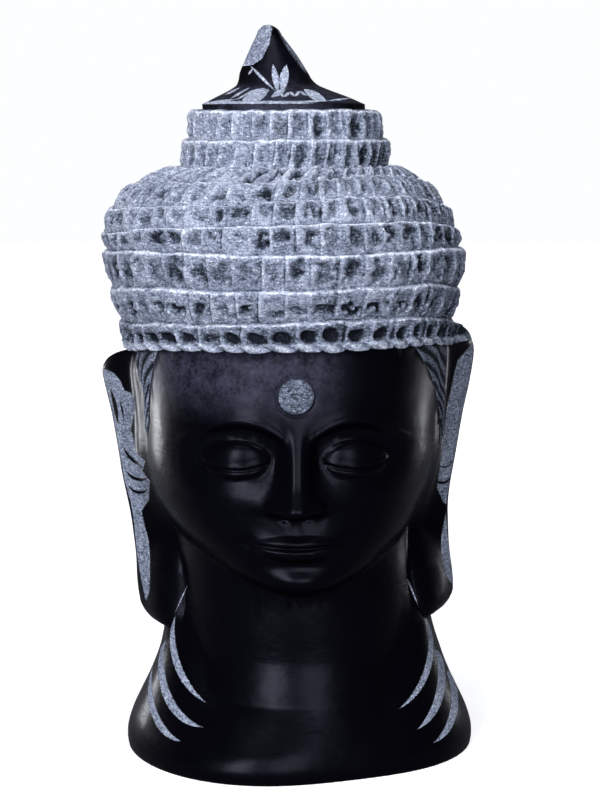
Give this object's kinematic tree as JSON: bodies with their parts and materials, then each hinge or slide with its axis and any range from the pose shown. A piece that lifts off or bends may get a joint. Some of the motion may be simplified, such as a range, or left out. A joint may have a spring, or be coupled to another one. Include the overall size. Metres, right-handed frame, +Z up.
{
  "type": "carved stone head ornament",
  "caption": "Carved stone head on a flared base cut in one with it, with rows of cut hair, long ears and a pointed finial; stands on its flat underside.",
  "frame": {"origin": "centre of the flat underside, on the surface that the head stands on", "axes": "+Z up, the face looks along -Y, +X is to the right of someone who looks at the face"},
  "size_m": [0.1314, 0.133, 0.25],
  "materials": {
    "polished_stone": "near-black soapstone, hand polished, with the hair, ear edges and strokes left as pale grey chiselled stone"
  },
  "bodies": {
    "root": {"stone_buddha_head": "polished_stone"}
  },
  "joints": []
}
